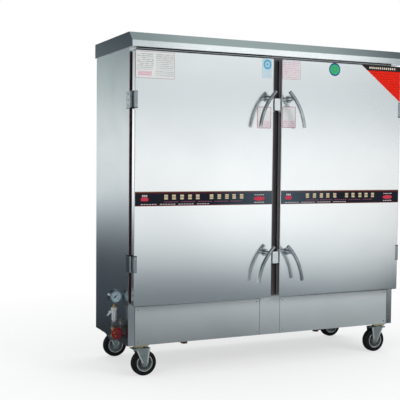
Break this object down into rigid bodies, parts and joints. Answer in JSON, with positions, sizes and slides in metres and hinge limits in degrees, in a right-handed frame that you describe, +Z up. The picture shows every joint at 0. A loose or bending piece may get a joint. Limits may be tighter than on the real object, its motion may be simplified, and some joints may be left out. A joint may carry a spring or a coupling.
{
  "type": "rice steamer cabinet",
  "caption": "Two-door stainless steam cabinet on swivel castors, with tray racks inside, bowed latch handles and a steam column with valve and gauge at the side.",
  "frame": {"origin": "on the floor, under the middle of the body's width and depth", "axes": "+Z up, +X to the right as seen from the doors, +Y from the doors to the back"},
  "size_m": [1.4736, 0.581, 1.49],
  "materials": {
    "panel": "satin stainless sheet",
    "cap": "satin stainless sheet, slightly darker",
    "liner": "satin stainless sheet",
    "rack": "bright stainless angle",
    "wool": "light insulation",
    "door_core": "foam behind a stainless inner pan",
    "seal": "dark red silicone",
    "band": "printed film, black with a maroon line",
    "hinge": "satin",
    "polished": "polished stainless",
    "latch_box": "plain sheet",
    "pipe": "galvanised",
    "brass": "cast and turned brass",
    "red_paint": "gloss red",
    "gauge_steel": "satin",
    "dial": "matt white",
    "lens": "clear",
    "needle": "matt black",
    "zinc": "bright zinc plate",
    "rim": "grey zinc plate",
    "tyre": "black rubber"
  },
  "bodies": {
    "cabinet": {"side_panel_left": "panel", "side_panel_right": "panel", "back_panel": "panel", "top_cap": "cap", "front_frame": "panel", "base_panels": "panel", "base_floor": "panel", "liner_left": "liner", "liner_right": "liner", "insulation": "wool", "tray_rack_left": "rack", "tray_rack_right": "rack", "steam_pipe": "pipe", "vent_pipes": "pipe", "steam_diffusers": "liner", "drain_valves": "brass", "castor_plates": "zinc", "castor_bolts": "zinc", "hinge_frame_leaves": "hinge", "latch_keepers": "polished", "steam_fittings": "pipe", "gate_valve": "brass", "safety_valve": "gauge_steel", "gauge_nipple": "brass", "gauge_case": "gauge_steel", "gauge_dial": "dial", "gauge_lens": "lens"},
    "door_left": {"door_skin_left": "panel", "door_inner_left": "door_core", "door_seal_left": "seal", "door_band_left": "band", "door_hinge_leaves_left": "hinge", "latch_cases_left": "latch_box"},
    "door_right": {"door_skin_right": "panel", "door_inner_right": "door_core", "door_seal_right": "seal", "door_band_right": "band", "door_hinge_leaves_right": "hinge", "latch_cases_right": "latch_box"},
    "handle_upper_left": {"handle_upper_left": "polished"},
    "handle_upper_right": {"handle_upper_right": "polished"},
    "handle_lower_left": {"handle_lower_left": "polished"},
    "handle_lower_right": {"handle_lower_right": "polished"},
    "handwheel": {"handwheel": "red_paint"},
    "safety_lever": {"safety_lever": "gauge_steel"},
    "gauge_needle": {"gauge_needle": "needle"},
    "drain_lever_left": {"drain_lever_left": "red_paint"},
    "drain_lever_right": {"drain_lever_right": "red_paint"},
    "castor_fork_front_left": {"castor_fork_front_left": "zinc"},
    "castor_wheel_front_left": {"castor_rim_front_left": "rim", "castor_tyre_front_left": "tyre"},
    "castor_fork_front_right": {"castor_fork_front_right": "zinc"},
    "castor_wheel_front_right": {"castor_rim_front_right": "rim", "castor_tyre_front_right": "tyre"},
    "castor_fork_back_left": {"castor_fork_back_left": "zinc"},
    "castor_wheel_back_left": {"castor_rim_back_left": "rim", "castor_tyre_back_left": "tyre"},
    "castor_fork_back_right": {"castor_fork_back_right": "zinc"},
    "castor_wheel_back_right": {"castor_rim_back_right": "rim", "castor_tyre_back_right": "tyre"}
  },
  "joints": [
    {"name": "door_left_swing", "type": "hinge", "parent": "cabinet", "child": "door_left", "pos_m": [-0.6996, -0.25, 0.8525], "axis": [0, 0, -1], "range_deg": [0, 180]},
    {"name": "door_right_swing", "type": "hinge", "parent": "cabinet", "child": "door_right", "pos_m": [0.6996, -0.25, 0.8525], "axis": [0, 0, 1], "range_deg": [0, 180]},
    {"name": "handle_upper_left_turn", "type": "hinge", "parent": "door_left", "child": "handle_upper_left", "pos_m": [-0.058, -0.325, 1.232], "axis": [0, -1, 0], "range_deg": [-40, 40]},
    {"name": "handle_upper_right_turn", "type": "hinge", "parent": "door_right", "child": "handle_upper_right", "pos_m": [0.058, -0.325, 1.232], "axis": [0, 1, 0], "range_deg": [-40, 40]},
    {"name": "handle_lower_left_turn", "type": "hinge", "parent": "door_left", "child": "handle_lower_left", "pos_m": [-0.058, -0.325, 0.531], "axis": [0, -1, 0], "range_deg": [-40, 40]},
    {"name": "handle_lower_right_turn", "type": "hinge", "parent": "door_right", "child": "handle_lower_right", "pos_m": [0.058, -0.325, 0.531], "axis": [0, 1, 0], "range_deg": [-40, 40]},
    {"name": "handwheel_turn", "type": "hinge", "parent": "cabinet", "child": "handwheel", "pos_m": [-0.733, -0.182, 0.192], "axis": [0, -1, 0], "range_deg": [0, 900]},
    {"name": "safety_lever_lift", "type": "hinge", "parent": "cabinet", "child": "safety_lever", "pos_m": [-0.751, -0.138, 0.28], "axis": [0, 1, 0], "range_deg": [0, 35]},
    {"name": "gauge_needle_turn", "type": "hinge", "parent": "cabinet", "child": "gauge_needle", "pos_m": [-0.733, -0.164, 0.3495], "axis": [0, 1, 0], "range_deg": [-183, 87]},
    {"name": "drain_lever_left_turn", "type": "hinge", "parent": "cabinet", "child": "drain_lever_left", "pos_m": [-0.3615, -0.082, 0.11], "axis": [0, -1, 0], "range_deg": [0, 90]},
    {"name": "drain_lever_right_turn", "type": "hinge", "parent": "cabinet", "child": "drain_lever_right", "pos_m": [0.3615, -0.082, 0.11], "axis": [0, 1, 0], "range_deg": [0, 90]},
    {"name": "castor_front_left_swivel", "type": "hinge", "parent": "cabinet", "child": "castor_fork_front_left", "pos_m": [-0.636, -0.195, 0.129], "axis": [0, 0, 1], "continuous": true},
    {"name": "castor_front_left_roll", "type": "hinge", "parent": "castor_fork_front_left", "child": "castor_wheel_front_left", "pos_m": [-0.616, -0.195, 0.056], "axis": [0, 1, 0], "continuous": true},
    {"name": "castor_front_right_swivel", "type": "hinge", "parent": "cabinet", "child": "castor_fork_front_right", "pos_m": [0.636, -0.195, 0.129], "axis": [0, 0, 1], "continuous": true},
    {"name": "castor_front_right_roll", "type": "hinge", "parent": "castor_fork_front_right", "child": "castor_wheel_front_right", "pos_m": [0.616, -0.195, 0.056], "axis": [0, 1, 0], "continuous": true},
    {"name": "castor_back_left_swivel", "type": "hinge", "parent": "cabinet", "child": "castor_fork_back_left", "pos_m": [-0.636, 0.195, 0.129], "axis": [0, 0, 1], "continuous": true},
    {"name": "castor_back_left_roll", "type": "hinge", "parent": "castor_fork_back_left", "child": "castor_wheel_back_left", "pos_m": [-0.616, 0.195, 0.056], "axis": [0, 1, 0], "continuous": true},
    {"name": "castor_back_right_swivel", "type": "hinge", "parent": "cabinet", "child": "castor_fork_back_right", "pos_m": [0.636, 0.195, 0.129], "axis": [0, 0, 1], "continuous": true},
    {"name": "castor_back_right_roll", "type": "hinge", "parent": "castor_fork_back_right", "child": "castor_wheel_back_right", "pos_m": [0.616, 0.195, 0.056], "axis": [0, 1, 0], "continuous": true}
  ]
}
